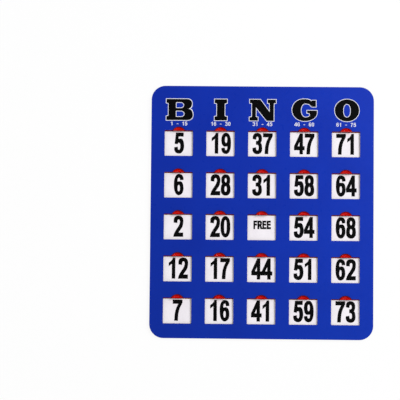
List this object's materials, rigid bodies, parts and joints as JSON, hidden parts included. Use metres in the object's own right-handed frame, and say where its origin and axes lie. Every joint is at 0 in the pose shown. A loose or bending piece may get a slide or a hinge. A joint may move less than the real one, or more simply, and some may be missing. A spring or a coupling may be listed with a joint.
{
  "type": "bingo card",
  "caption": "Flat laminated pasteboard game card with a grid of windows, a number panel behind each, and plastic shutters that slide down over the panels by their thumb tabs.",
  "frame": {"origin": "middle of the card's flat back face, which it lies on", "axes": "+X across the card to the right of a reader, +Y from the card's foot to its head, +Z out of its face"},
  "size_m": [0.1906, 0.216, 0.0054],
  "materials": {
    "board": "matt grey-brown pasteboard, layers of paper pasted together",
    "number_paper": "smooth off-white paper",
    "face_paper": "satin printed blue paper",
    "shutter": "glossy red moulded plastic"
  },
  "bodies": {
    "card": {"back_board": "board", "rear_spacer": "board", "number_sheet": "number_paper", "front_spacer": "board", "face_board": "board", "face_sheet": "face_paper"},
    "shutter_b1": {"shutter_b1": "shutter"},
    "shutter_b2": {"shutter_b2": "shutter"},
    "shutter_b3": {"shutter_b3": "shutter"},
    "shutter_b4": {"shutter_b4": "shutter"},
    "shutter_b5": {"shutter_b5": "shutter"},
    "shutter_i1": {"shutter_i1": "shutter"},
    "shutter_i2": {"shutter_i2": "shutter"},
    "shutter_i3": {"shutter_i3": "shutter"},
    "shutter_i4": {"shutter_i4": "shutter"},
    "shutter_i5": {"shutter_i5": "shutter"},
    "shutter_n1": {"shutter_n1": "shutter"},
    "shutter_n2": {"shutter_n2": "shutter"},
    "shutter_n3": {"shutter_n3": "shutter"},
    "shutter_n4": {"shutter_n4": "shutter"},
    "shutter_n5": {"shutter_n5": "shutter"},
    "shutter_g1": {"shutter_g1": "shutter"},
    "shutter_g2": {"shutter_g2": "shutter"},
    "shutter_g3": {"shutter_g3": "shutter"},
    "shutter_g4": {"shutter_g4": "shutter"},
    "shutter_g5": {"shutter_g5": "shutter"},
    "shutter_o1": {"shutter_o1": "shutter"},
    "shutter_o2": {"shutter_o2": "shutter"},
    "shutter_o3": {"shutter_o3": "shutter"},
    "shutter_o4": {"shutter_o4": "shutter"},
    "shutter_o5": {"shutter_o5": "shutter"}
  },
  "joints": [
    {"name": "shutter_b1_slide", "type": "slide", "parent": "card", "child": "shutter_b1", "axis": [0, -0.9997, 0.024], "range_m": [0, 0.0211]},
    {"name": "shutter_b2_slide", "type": "slide", "parent": "card", "child": "shutter_b2", "axis": [0, -0.9997, 0.024], "range_m": [0, 0.0211]},
    {"name": "shutter_b3_slide", "type": "slide", "parent": "card", "child": "shutter_b3", "axis": [0, -0.9997, 0.024], "range_m": [0, 0.0211]},
    {"name": "shutter_b4_slide", "type": "slide", "parent": "card", "child": "shutter_b4", "axis": [0, -0.9997, 0.024], "range_m": [0, 0.0211]},
    {"name": "shutter_b5_slide", "type": "slide", "parent": "card", "child": "shutter_b5", "axis": [0, -0.9997, 0.024], "range_m": [0, 0.0211]},
    {"name": "shutter_i1_slide", "type": "slide", "parent": "card", "child": "shutter_i1", "axis": [0, -0.9997, 0.024], "range_m": [0, 0.0211]},
    {"name": "shutter_i2_slide", "type": "slide", "parent": "card", "child": "shutter_i2", "axis": [0, -0.9997, 0.024], "range_m": [0, 0.0211]},
    {"name": "shutter_i3_slide", "type": "slide", "parent": "card", "child": "shutter_i3", "axis": [0, -0.9997, 0.024], "range_m": [0, 0.0211]},
    {"name": "shutter_i4_slide", "type": "slide", "parent": "card", "child": "shutter_i4", "axis": [0, -0.9997, 0.024], "range_m": [0, 0.0211]},
    {"name": "shutter_i5_slide", "type": "slide", "parent": "card", "child": "shutter_i5", "axis": [0, -0.9997, 0.024], "range_m": [0, 0.0211]},
    {"name": "shutter_n1_slide", "type": "slide", "parent": "card", "child": "shutter_n1", "axis": [0, -0.9997, 0.024], "range_m": [0, 0.0211]},
    {"name": "shutter_n2_slide", "type": "slide", "parent": "card", "child": "shutter_n2", "axis": [0, -0.9997, 0.024], "range_m": [0, 0.0211]},
    {"name": "shutter_n3_slide", "type": "slide", "parent": "card", "child": "shutter_n3", "axis": [0, -0.9997, 0.024], "range_m": [0, 0.0211]},
    {"name": "shutter_n4_slide", "type": "slide", "parent": "card", "child": "shutter_n4", "axis": [0, -0.9997, 0.024], "range_m": [0, 0.0211]},
    {"name": "shutter_n5_slide", "type": "slide", "parent": "card", "child": "shutter_n5", "axis": [0, -0.9997, 0.024], "range_m": [0, 0.0211]},
    {"name": "shutter_g1_slide", "type": "slide", "parent": "card", "child": "shutter_g1", "axis": [0, -0.9997, 0.024], "range_m": [0, 0.0211]},
    {"name": "shutter_g2_slide", "type": "slide", "parent": "card", "child": "shutter_g2", "axis": [0, -0.9997, 0.024], "range_m": [0, 0.0211]},
    {"name": "shutter_g3_slide", "type": "slide", "parent": "card", "child": "shutter_g3", "axis": [0, -0.9997, 0.024], "range_m": [0, 0.0211]},
    {"name": "shutter_g4_slide", "type": "slide", "parent": "card", "child": "shutter_g4", "axis": [0, -0.9997, 0.024], "range_m": [0, 0.0211]},
    {"name": "shutter_g5_slide", "type": "slide", "parent": "card", "child": "shutter_g5", "axis": [0, -0.9997, 0.024], "range_m": [0, 0.0211]},
    {"name": "shutter_o1_slide", "type": "slide", "parent": "card", "child": "shutter_o1", "axis": [0, -0.9997, 0.024], "range_m": [0, 0.0211]},
    {"name": "shutter_o2_slide", "type": "slide", "parent": "card", "child": "shutter_o2", "axis": [0, -0.9997, 0.024], "range_m": [0, 0.0211]},
    {"name": "shutter_o3_slide", "type": "slide", "parent": "card", "child": "shutter_o3", "axis": [0, -0.9997, 0.024], "range_m": [0, 0.0211]},
    {"name": "shutter_o4_slide", "type": "slide", "parent": "card", "child": "shutter_o4", "axis": [0, -0.9997, 0.024], "range_m": [0, 0.0211]},
    {"name": "shutter_o5_slide", "type": "slide", "parent": "card", "child": "shutter_o5", "axis": [0, -0.9997, 0.024], "range_m": [0, 0.0211]}
  ]
}
